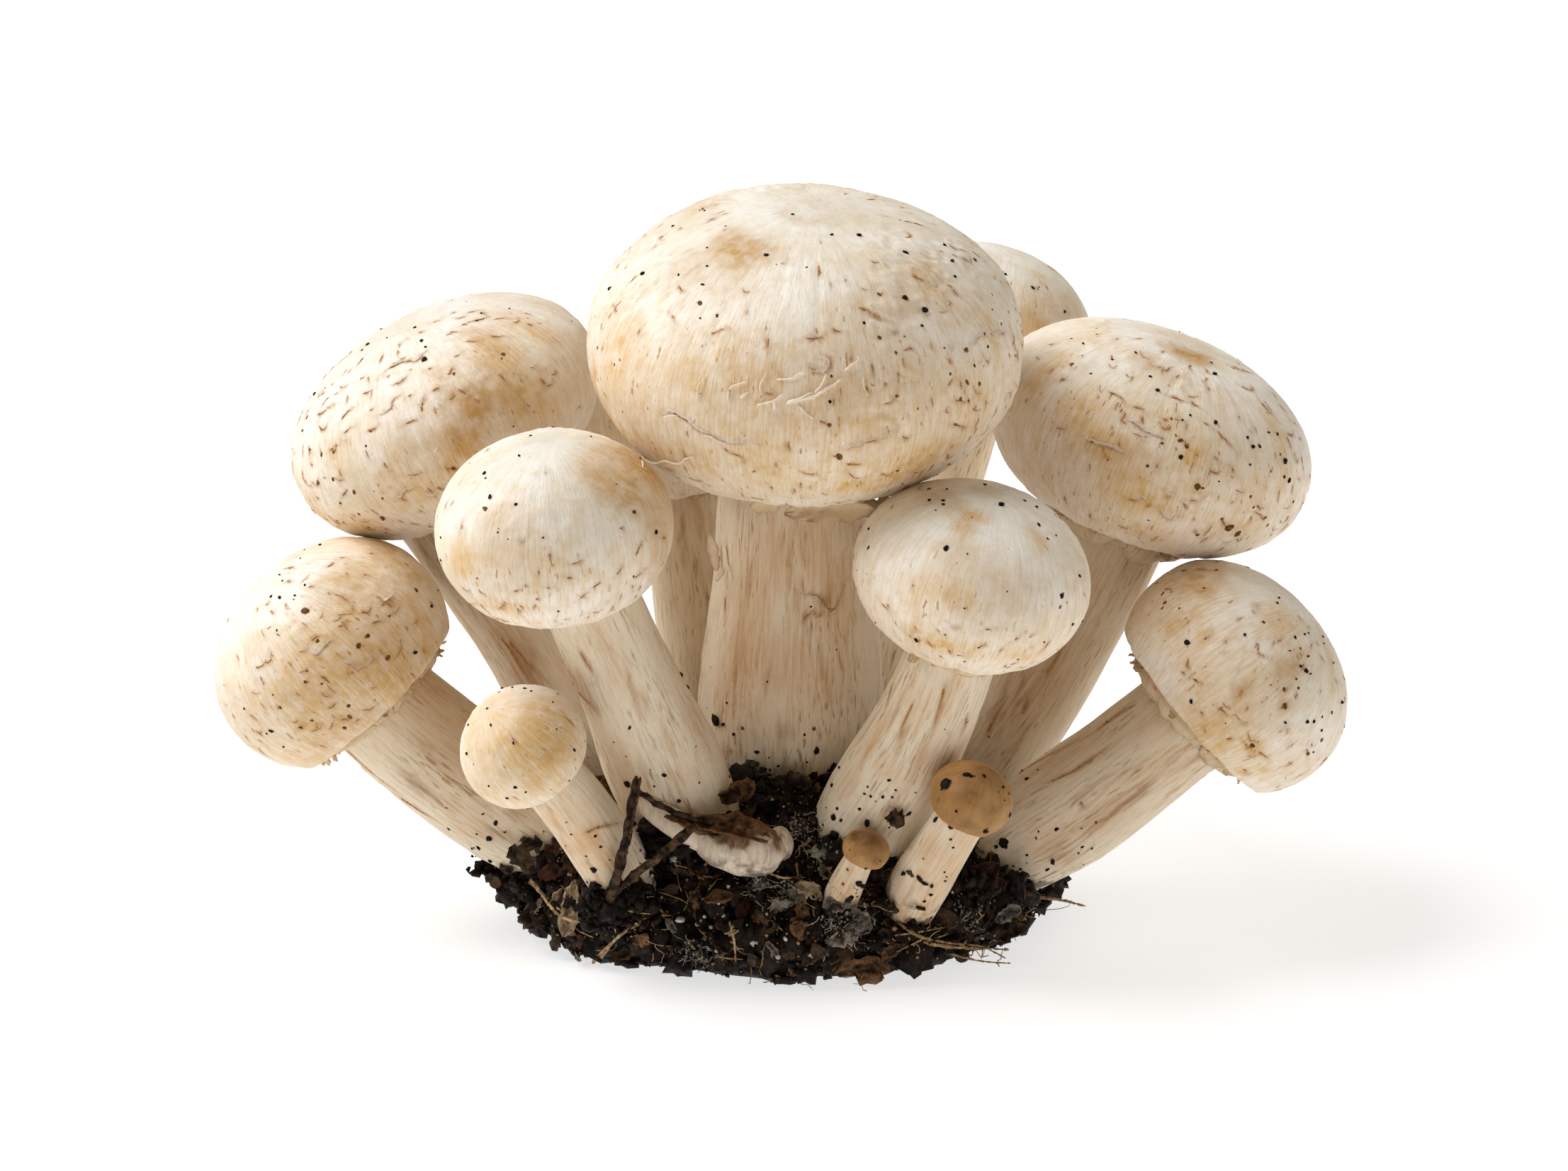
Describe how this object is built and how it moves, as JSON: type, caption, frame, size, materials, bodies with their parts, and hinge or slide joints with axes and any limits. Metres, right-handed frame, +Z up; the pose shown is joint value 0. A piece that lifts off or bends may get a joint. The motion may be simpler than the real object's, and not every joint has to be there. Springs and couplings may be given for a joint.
{
  "type": "button mushroom cluster",
  "caption": "Cluster of closed cream button mushrooms that grew together out of a clump of dark casing soil, with torn veils, twigs and roots at the base.",
  "frame": {"origin": "on the flat underside of the soil clump, below the middle of the clump", "axes": "+Z up out of the soil, +X along the wide row of caps towards the viewer's right, -Y towards the front"},
  "size_m": [0.1594, 0.1095, 0.1071],
  "materials": {
    "cream_cap_skin": "satin",
    "brown_cap_skin": "satin",
    "stem_flesh": "matte",
    "veil_tissue": "matte",
    "casing_soil": "matte",
    "bark": "matte",
    "dry_litter": "matte"
  },
  "bodies": {
    "root": {"soil_clump": "casing_soil", "centre_cap": "cream_cap_skin", "left_upper_cap": "cream_cap_skin", "right_upper_cap": "cream_cap_skin", "left_outer_cap": "cream_cap_skin", "right_outer_cap": "cream_cap_skin", "left_front_cap": "cream_cap_skin", "right_front_cap": "cream_cap_skin", "small_left_cap": "cream_cap_skin", "small_right_cap": "brown_cap_skin", "tiny_right_cap": "brown_cap_skin", "back_left_cap": "cream_cap_skin", "back_right_cap": "cream_cap_skin", "centre_stem": "stem_flesh", "left_upper_stem": "stem_flesh", "right_upper_stem": "stem_flesh", "left_outer_stem": "stem_flesh", "right_outer_stem": "stem_flesh", "left_front_stem": "stem_flesh", "right_front_stem": "stem_flesh", "small_left_stem": "stem_flesh", "small_right_stem": "stem_flesh", "tiny_right_stem": "stem_flesh", "back_left_stem": "stem_flesh", "back_right_stem": "stem_flesh", "centre_veil": "veil_tissue", "left_upper_veil": "veil_tissue", "right_upper_veil": "veil_tissue", "left_outer_veil": "veil_tissue", "right_outer_veil": "veil_tissue", "left_front_veil": "veil_tissue", "right_front_veil": "veil_tissue", "back_left_veil": "veil_tissue", "back_right_veil": "veil_tissue", "upright_twig": "bark", "leaning_twig": "bark", "bark_strip": "bark", "wood_chip": "bark", "left_bark_flake": "bark", "middle_bark_flake": "bark", "right_bark_flake": "bark", "seed_husk": "bark", "left_root": "dry_litter", "front_root": "dry_litter", "right_root": "dry_litter", "low_root": "dry_litter", "dry_leaf_left": "dry_litter", "dry_leaf_middle": "dry_litter", "dry_leaf_front": "dry_litter", "buried_pin": "brown_cap_skin"}
  },
  "joints": []
}
